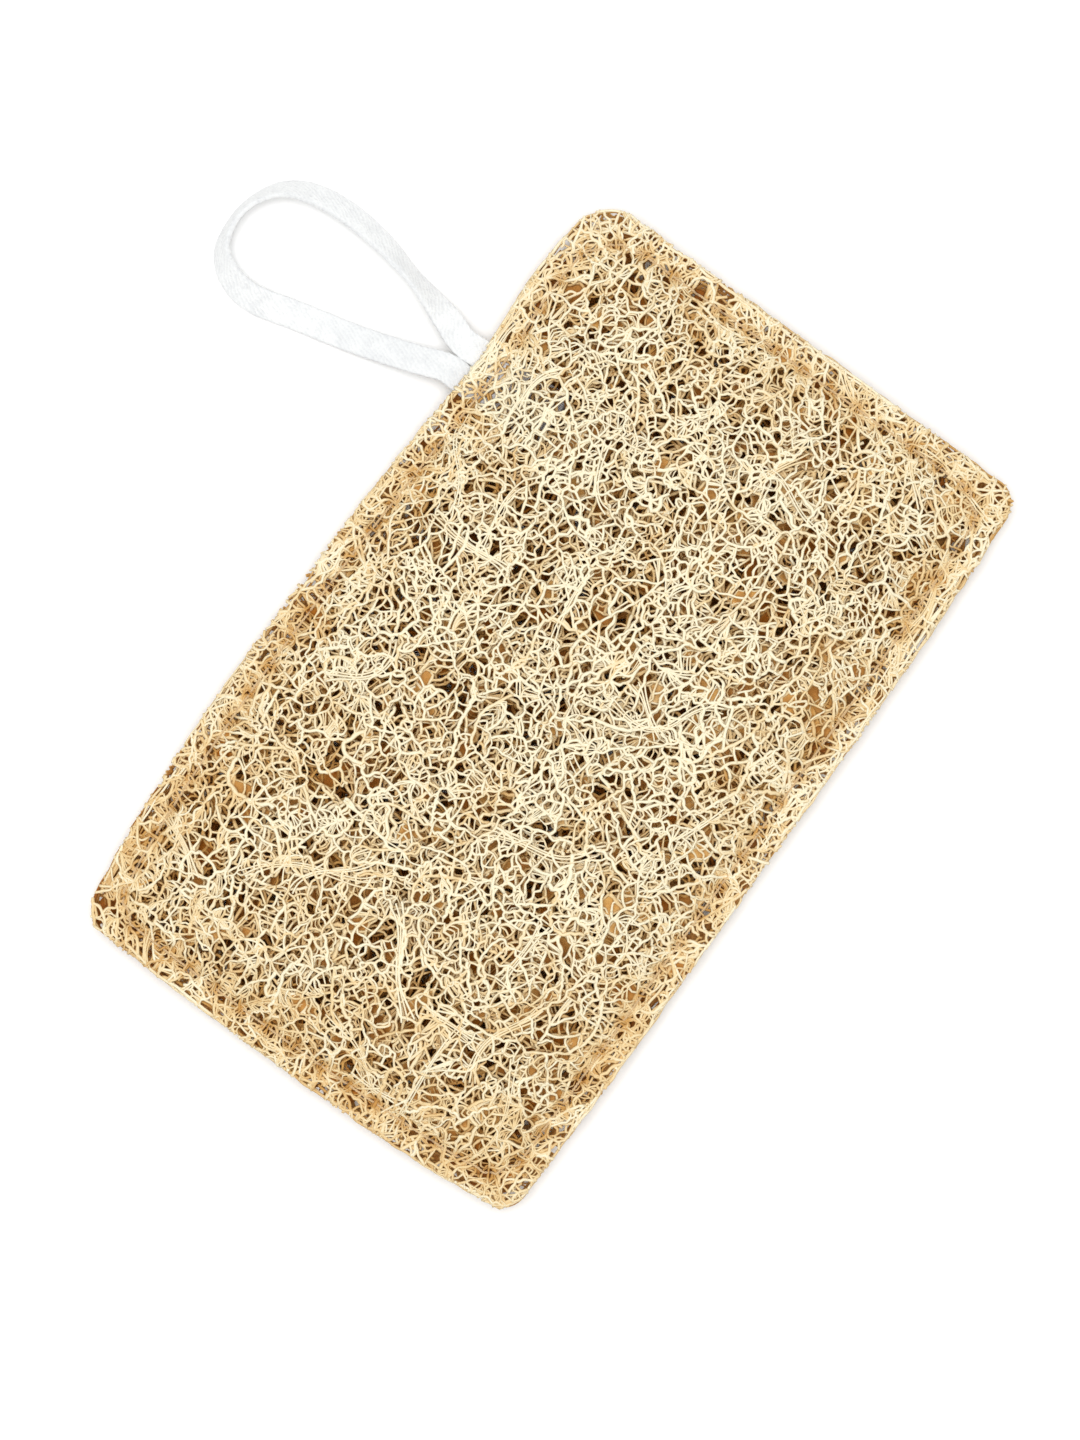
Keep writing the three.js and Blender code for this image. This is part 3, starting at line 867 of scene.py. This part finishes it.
# Strands over the white tape are paler: painted light bounced from the tape.
TAPE_PAINTED_BOUNCE_LIGHT = 0.16
TAPE_MARGIN = 0.5
TAPE_CLEARANCE = 0.05

STITCH_REACH = 2.4
STITCH_PUSH = 0.4
STITCH_PULL = 0.6
STITCH_PIT_WIDTH = 0.9
STITCH_PIT_SLIMNESS = 0.6

# Films are more common towards +X and in patches, and have their own share at each panel's rim.
FILM_THICKNESS = 0.12
FILM_INSET = 0.5
FILM_PATCHINESS = 0.9
FILM_PATCH_LENGTH = 22.0
FILM_DRIFT = 0.7
# Films are darker than strands at the same depth: partly the dried flesh's own colour, partly painted shade
# in the holes they close.
FILM_SHADE = 0.2
RIM_FILM_SHARE = {1: 0.04, -1: 0.5}
# More painted shade on films at the rim, seen through the holes of the net.
RIM_FILM_SHADE = 0.2

VEIN_COUNT = 34
STAR_COUNT = 48
EDGE_STRAND_COUNT = 120
SURFACE_STRAND_SIZE = 0.8
FINE_STRAND_SIZE = 0.62
TIE_SHARE = 0.2
TIE_REACH = 4.0
TIE_INSET = 3.0
TIE_END_RADIUS = 0.32


def near_stitches(points, inset, outward):
    """Pushes strands away from each needle hole, and down into it. Returns how near each is."""
    near = np.flatnonzero(np.abs(inset - SEAM_INSET) < STITCH_REACH)
    nearest = np.argmin(np.linalg.norm(points[near, None, :2] - STITCHES, axis=2), axis=1)
    offset = points[near, :2] - STITCHES[nearest]
    along = STITCH_DIRECTIONS[nearest]
    lengthways = (offset * along).sum(axis=1)
    sideways = offset[:, 0] * along[:, 1] - offset[:, 1] * along[:, 0]
    distance = np.hypot(lengthways * STITCH_PIT_SLIMNESS, sideways)
    pushed = np.sign(sideways) * STITCH_PUSH * np.exp(-((distance / STITCH_PIT_WIDTH) ** 2))
    points[near, 0] += pushed * along[:, 1]
    points[near, 1] -= pushed * along[:, 0]
    nearness = np.zeros(len(points))
    nearness[near] = np.exp(-(distance**2))
    points[:, 2] -= outward * STITCH_PULL * nearness
    return nearness


def over_tape(x, y):
    beside = np.abs(y - LOOP_MIDDLE_Y) - TAPE_WIDTH
    return (x < LOOP_EDGE_X + TAIL_REACH + TAPE_MARGIN) & (beside < TAPE_MARGIN)


class Panel:
    """Collects flat strands, each a row of u, v, lift and flare, and sets them at their heights in
    one panel."""

    def __init__(self, rng, outward):
        self.rng = rng
        self.outward = outward
        self.clear()

    def clear(self):
        self.flat, self.facts = [], []

    def add(self, flat, radius, fraction, tone, margin=0.0):
        self.flat.append(flat)
        self.facts.append([radius, fraction, tone, margin + self.rng.uniform(0.05, 0.5)])

    def place(self, flat, radius, fraction):
        """Points, radii and depths at a fraction of the panel's thickness. The depths darken the colour as
        painted shade.
        """
        u, v, lift, flare = flat.T
        inset = inset_of(u, v)
        face = front_height(inset) if self.outward > 0 else back_height(inset)
        thickness = np.abs(face - meet_height(inset) - self.outward * PANEL_GAP / 2)
        radii = radius * flare
        room = thickness - 2 * STRAND_MARGIN
        below = STRAND_MARGIN + fraction * room - lift * np.minimum(thickness / FULL_THICKNESS + 0.2, 1)
        below = np.clip(below, radii + FACE_CLEARANCE, thickness - INNER_CLEARANCE)
        points = np.column_stack([*bow(u, v), face - self.outward * below])
        nearness = near_stitches(points, inset, self.outward)
        over = self.clear_of_tape(points, inset, radii)
        # Painted shade: the deeper a strand, the darker, with more painted shade at the needle holes.
        depths = below / (SHALLOW_SCALE + DEEP_SHARE * thickness)
        depths += STITCH_SHADE * nearness + RIM_SHADE * (1 - smoothstep(0, RIM_SHADE_WIDTH, inset))
        # Painted bounce light over the tape.
        depths -= TAPE_PAINTED_BOUNCE_LIGHT * over
        depths += LOWER_END_SHADE * smoothstep(*LOWER_END_FADE, v)
        return points, radii, depths

    def clear_of_tape(self, points, inset, radii):
        """Lifts strands off the sewn-in tape. Returns which of the points are over it."""
        over = over_tape(*points[:, :2].T)
        limit = meet_height(inset) + self.outward * (TAPE_THICKNESS / 2 + TAPE_CLEARANCE + radii)
        outermost = np.maximum if self.outward > 0 else np.minimum
        points[over, 2] = outermost(points[over, 2], limit[over])
        return over

    def strands(self):
        """The strands collected so far, cut at the pad's outline and set at their heights."""
        strand = np.repeat(np.arange(len(self.flat)), [len(flat) for flat in self.flat])
        facts = np.array(self.facts).T
        flat, strand, counts = clip_to_outline(np.vstack(self.flat), strand, facts[3])
        radius, fraction, tone = facts[:3, strand]
        made = Strands()
        made.add(*self.place(flat, radius, fraction), tone, counts)
        self.clear()
        return made


def add_net(panel, net, fraction, steps, thickness, margin):
    """The main strands of a net."""
    rng = panel.rng
    for chain in net.chains():
        links = len(chain) // 2
        radius = thickness * min(0.86 + 0.03 * links, 1.2) * rng.lognormal(0, 0.17)
        panel.add(catmull_rom(net.controls[chain], steps), radius, fraction, rng.normal(), margin)


def add_fine_strands(panel, net, fraction, share, thickness, margin):
    """Thin strands across a share of the net's cells."""
    rng = panel.rng
    for cell in net.cells:
        kind = rng.random()
        if kind > share:
            continue
        spacing = rng.uniform(0.7, 1.3)
        tone = rng.normal()
        for flat in fine_strands(rng, net.controls[cell], spacing, kind < 0.4 * share):
            radius = thickness * rng.uniform(0.75, 1.35)
            panel.add(flat, radius, fraction, tone + rng.normal(0, 0.4), margin)


def add_veins(panel, count, thickness):
    """Curving bundles of two or three strands that run over the net."""
    rng = panel.rng
    heading = smooth_noise(rng, 26.0)
    for _ in range(count):
        places = [rng.uniform((-HALF_WIDTH, -HALF_LENGTH), (HALF_WIDTH, HALF_LENGTH))]
        turn = rng.uniform(0, 2 * math.pi)
        steps = rng.integers(6, 15)
        for _ in range(steps):
            angle = turn + 1.1 * heading(places[-1])
            places.append(places[-1] + 1.6 * np.array([math.cos(angle), math.sin(angle)]))
        places = np.array(places)
        tone = rng.normal()
        beside = unit(np.gradient(places, axis=0))[:, ::-1] * (-1, 1)
        for twin in range(rng.integers(2, 4)):
            swing = np.arange(steps + 1) * rng.uniform(0.2, 0.5) + rng.uniform(0, 3)
            spread = 0.8 + 1.6 * np.abs(np.linspace(-1, 1, steps + 1)) ** 3
            line = places + beside * ((twin - 1) * 0.42 * spread + 0.15 * np.cos(swing))[:, None]
            lift = rng.normal(0.0, 0.1, steps + 1)
            flat = catmull_rom(np.column_stack([line, lift, np.ones(steps + 1)]), 3)
            panel.add(flat, thickness * rng.uniform(0.7, 1.1), 0.0, tone + rng.normal(0, 0.4))


def add_stars(panel, net, count, thickness):
    """Junctions from which many strands spread to the net round them."""
    rng = panel.rng
    for hub in rng.choice(len(net.junctions), count, replace=False):
        middle = net.controls[hub]
        offsets = net.junctions - middle[:2]
        distance = np.hypot(*offsets.T)
        near = np.flatnonzero((distance > 2.2) & (distance < 5.5))
        heading = np.arctan2(offsets[near, 1], offsets[near, 0])
        turn = rng.uniform(0, 2 * math.pi)
        for arm in range(rng.integers(4, 8)):
            angle = turn + arm * 0.75 + rng.normal(0, 0.15)
            aside = np.abs((heading - angle + math.pi) % (2 * math.pi) - math.pi)
            end = net.controls[near[np.argmin(aside + 0.1 * distance[near])]]
            bend = rng.normal(0, 0.12) * (end - middle)[[1, 0]] * (1, -1)
            between = (middle + end) / 2
            between[:2] += bend
            between[3] = 0.9
            flat = catmull_rom(np.stack([middle * (1, 1, 1, 1.25), between, end]), 4)
            panel.add(flat, thickness * rng.uniform(0.75, 1.15), 0.0, rng.normal())


def add_edge_strands(panel, count):
    """Strands that run along the cut edge."""
    rng = panel.rng
    for _ in range(count):
        inset = 0.3 + 2.6 * rng.random() ** 2.5
        ring = plain_ring(inset)
        start = rng.integers(len(ring))
        at = (start + np.arange(rng.integers(4, 13)) * 2) % len(ring)
        line = ring[at] + rng.normal(0, 0.08 + 0.07 * inset, (len(at), 2))
        lift = rng.normal(0, 0.25, len(line))
        flat = catmull_rom(np.column_stack([line, lift, np.ones(len(line))]), 3)
        panel.add(flat, rng.uniform(0.16, 0.28), rng.uniform(0, 1), rng.normal(-1.5), -0.6)


def make_ties(panel, nets, fractions):
    """Short strands that tie one layer to the next."""
    rng = panel.rng
    ends = []
    for k in range(len(nets) - 1):
        upper, lower = nets[k].junctions, nets[k + 1].junctions
        for start in upper[rng.random(len(upper)) < TIE_SHARE]:
            near = lower[np.argsort(((lower - start) ** 2).sum(axis=1))[rng.integers(0, 3)]]
            if np.hypot(*(near - start)) < TIE_REACH:
                ends.append([[*start, 0, 1, fractions[k]], [*near, 0, 1, fractions[k + 1]]])
    ends = np.array(ends)
    good = inset_of(*ends.T[:2]).min(axis=0) > TIE_INSET
    top, bottom = (
        panel.place(end[:, :4], TIE_END_RADIUS, end[:, 4]) for end in ends[good].swapaxes(0, 1)
    )
    made = Strands()
    for upper, lower, high, low in zip(top[0], bottom[0], top[2], bottom[2]):
        middle = (upper + lower) / 2 + rng.normal(0, 0.3, 3) * (1, 1, 0)
        points = catmull_rom(np.vstack([upper, middle, lower]), 2)
        radii = rng.uniform(0.15, 0.24) * np.array([1.3, 1, 0.95, 1, 1.3])
        made.add(points, radii, np.linspace(high, low, 5), np.full(5, rng.normal()), 5)
    return made


def turned_over(faces, shift):
    """The same faces, seen from behind, on vertices that come later by a shift."""
    return [(face[0] + shift, *(corner + shift for corner in face[:0:-1])) for face in faces]


def film_faces(counts, lower):
    """The faces of films with so many points in each of two rings and one in the middle, and the same
    points lower down."""
    faces = []
    start = 0
    for count in counts:
        outer = start + np.arange(count)
        inner, middle = outer + count, start + 2 * count
        ahead = np.roll(outer, -1)
        rim = [*zip(outer, ahead, ahead + count, inner)]
        walls = [(a, a + lower, b + lower, b) for a, b in zip(outer, ahead)]
        hub = [*zip(inner, ahead + count, [middle] * count)]
        faces += [*rim, *turned_over(rim, lower), *walls, *hub, *turned_over(hub, lower)]
        start = middle + 1
    return faces


def make_films(panel, net, fraction, share, name):
    """Thin films of dried flesh that close some of a net's cells."""
    rng = panel.rng
    patchy = smooth_noise(rng, FILM_PATCH_LENGTH)
    flats, counts, tones, shades = [], [], [], []
    for cell in net.cells:
        outline = net.controls[cell]
        centre = outline.mean(axis=0)
        insets = inset_of(*np.vstack([outline, centre]).T[:2])
        rim = 1 - smoothstep(SEAM_INSET, 2 * SEAM_INSET, insets[-1])
        common = 1 + FILM_PATCHINESS * patchy(centre[:2]) + FILM_DRIFT * centre[0] / HALF_WIDTH
        chance = share * common * (1 - rim)
        chance += RIM_FILM_SHARE[panel.outward] * rim
        if rng.random() > chance or insets[-1] < 2 * FILM_INSET or over_tape(*centre[:2]):
            continue
        kept = (insets[-1] - FILM_INSET) / np.maximum(insets[-1] - insets[:-1], 0.01)
        outline = centre + (outline - centre) * np.minimum(kept, 1)[:, None]
        hollow = np.array([0, 0, rng.uniform(0.4, 1.1), 0])
        spread = outline - centre
        rings = [centre + spread * size - hollow * (1 - size**2) for size in (1.0, 0.55)]
        flats.append(np.vstack([*rings, centre - hollow]))
        counts.append(len(outline))
        tones.append(rng.normal())
        shades.append(FILM_SHADE + RIM_FILM_SHADE * rim)
    sizes = np.array(counts) * 2 + 1
    flat = np.vstack(flats)
    points, _, depths = panel.place(flat, FILM_THICKNESS, fraction)
    half = np.array([0.0, 0.0, FILM_THICKNESS / 2])
    vertices = np.concatenate([points + half, points - half])
    faces = film_faces(counts, len(points))
    depths += np.repeat(shades, sizes)
    look = np.column_stack([depths, np.repeat(tones, sizes), np.zeros(len(points))])
    around = np.column_stack([flat[:, :2] * 0.6, np.repeat(np.arange(len(sizes)), sizes) * 3.1])
    return make_object(
        name, vertices, np.concatenate(faces), [len(face) for face in faces],
        {"around": np.tile(around, (2, 1)), "look": np.tile(look, (2, 1))},
    )


def dress(objects, material, node):
    """Gives a panel's pieces their material and their place in the frame."""
    for obj in objects:
        obj.data.materials.append(material)
        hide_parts(node)
        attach(obj, "pad")


def make_panel(name, outward, seed, layers, material):
    """One panel, layer by layer from the outer face inwards."""
    panel = Panel(np.random.default_rng(seed), outward)
    nets = []
    for k, (fraction, cell, steps, radius, fine_share, film_share, rim) in enumerate(layers):
        net = Net(panel.rng, cell, roughness=0.3 + 0.5 * fraction)
        nets.append(net)
        add_net(panel, net, fraction, steps, radius, rim)
        if k == 0:
            add_veins(panel, VEIN_COUNT, SURFACE_STRAND_SIZE * radius)
            add_stars(panel, net, STAR_COUNT, SURFACE_STRAND_SIZE * radius)
        dress(panel.strands().objects(f"{name}_net_{k + 1}", 6 if k == 0 else 5), material, name)
        add_fine_strands(panel, net, fraction, fine_share, radius * FINE_STRAND_SIZE, rim)
        if k == 0:
            add_edge_strands(panel, EDGE_STRAND_COUNT)
        dress(panel.strands().objects(f"{name}_fine_{k + 1}", 5), material, name)
        if film_share:
            films = make_films(panel, net, fraction, film_share, f"{name}_films_{k + 1}")
            dress([films], material, name)
    ties = make_ties(panel, nets, [layer[0] for layer in layers])
    dress(ties.objects(f"{name}_ties", 5), material, name)


# ---- The sewing threads

THREAD_RADIUS = 0.13
PLY_OFFSET = 0.1
TWIST_LENGTH = 1.0
THREAD_STEP = 0.16
THREAD_SINK = 0.4
THREAD_MEETING = 0.45


def make_thread(name, height_at, outward):
    """A two-ply thread that lies on one face between the needle holes and dips into each hole."""
    face = float(height_at(np.array([SEAM_INSET]))[0]) - outward * THREAD_SINK
    inside = MEET_HEIGHT + outward * THREAD_MEETING
    profile = [(-1.1, 0.05), (-0.5, 0.3), (0.0, 1.0), (0.5, 0.3), (1.1, 0.05)]
    stops = []
    for k, (at, along) in enumerate(zip(STITCHES, STITCH_DIRECTIONS)):
        for shift, dip in profile:
            stops.append([*(at + along * shift), face + (inside - face) * dip])
        following = STITCHES[(k + 1) % STITCH_COUNT]
        stops.append([*((at + following) / 2), face + outward * 0.1])
    stops = np.array(stops)
    line = catmull_rom(np.vstack([stops[-1:], stops, stops[:2]]), 8)[8:-8]
    travelled = lengths_along(line)
    even = np.arange(0, travelled[-1], THREAD_STEP)
    line = read_line(line, travelled, even)
    tangents = unit(np.gradient(line, axis=0))
    side = unit(np.cross(tangents, UP))
    normal = np.cross(side, tangents)
    strands = Strands()
    for ply in (0, math.pi):
        angle = even * 2 * math.pi / TWIST_LENGTH + ply
        points = line + PLY_OFFSET * (side * np.cos(angle)[:, None] + normal * np.sin(angle)[:, None])
        flat = np.zeros(len(points))
        strands.add(points, flat + THREAD_RADIUS, flat, flat, len(points))
    thread, = strands.objects(name + "_twisted", 5)
    thread.data.materials.append(thread_material())
    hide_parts(name)
    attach(thread, "pad")


# ---- Everything together

# Each layer's place as a fraction of the panel's thickness, cell size, steps between controls, strand
# radius, share of cells with fine strands, share with films, and how far the edge is bare.
FRONT_LAYERS = [
    (0.0, 2.5, 2, 0.22, 0.4, 0.0, 0.0),
    (0.07, 2.45, 2, 0.22, 0.35, 0.0, 0.0),
    (0.2, 2.6, 1, 0.225, 0.4, 0.13, 0.0),
    (0.4, 2.9, 1, 0.24, 0.3, 0.36, 1.5),
    (0.64, 3.3, 1, 0.25, 0.2, 0.5, 4.5),
    (0.94, 3.5, 1, 0.26, 0.2, 0.0, 4.5),
]
BACK_LAYERS = [
    (0.0, 2.55, 2, 0.22, 0.4, 0.0, 0.0),
    (0.12, 2.6, 1, 0.225, 0.35, 0.1, 0.0),
    (0.35, 2.9, 1, 0.24, 0.3, 0.3, 1.5),
    (0.65, 3.3, 1, 0.25, 0.2, 0.35, 4.5),
    (0.93, 3.5, 1, 0.26, 0.2, 0.0, 4.5),
]

add_camera()
make_tape()
add_studio()
luffa_front = luffa_material(
    "luffa_front_fibre", 1, (0.94, 0.865, 0.65), (0.86, 0.68, 0.39), (0.64, 0.37, 0.115), (0.38, 0.125, 0.01)
)
luffa_back = luffa_material(
    "luffa_back_fibre", -1, (0.91, 0.83, 0.61), (0.84, 0.64, 0.36), (0.62, 0.35, 0.11), (0.34, 0.11, 0.014)
)
make_panel("front_panel", 1, 11, FRONT_LAYERS, luffa_front)
make_panel("back_panel", -1, 23, BACK_LAYERS, luffa_back)
make_thread("needle_thread", front_height, 1)
make_thread("bobbin_thread", back_height, -1)
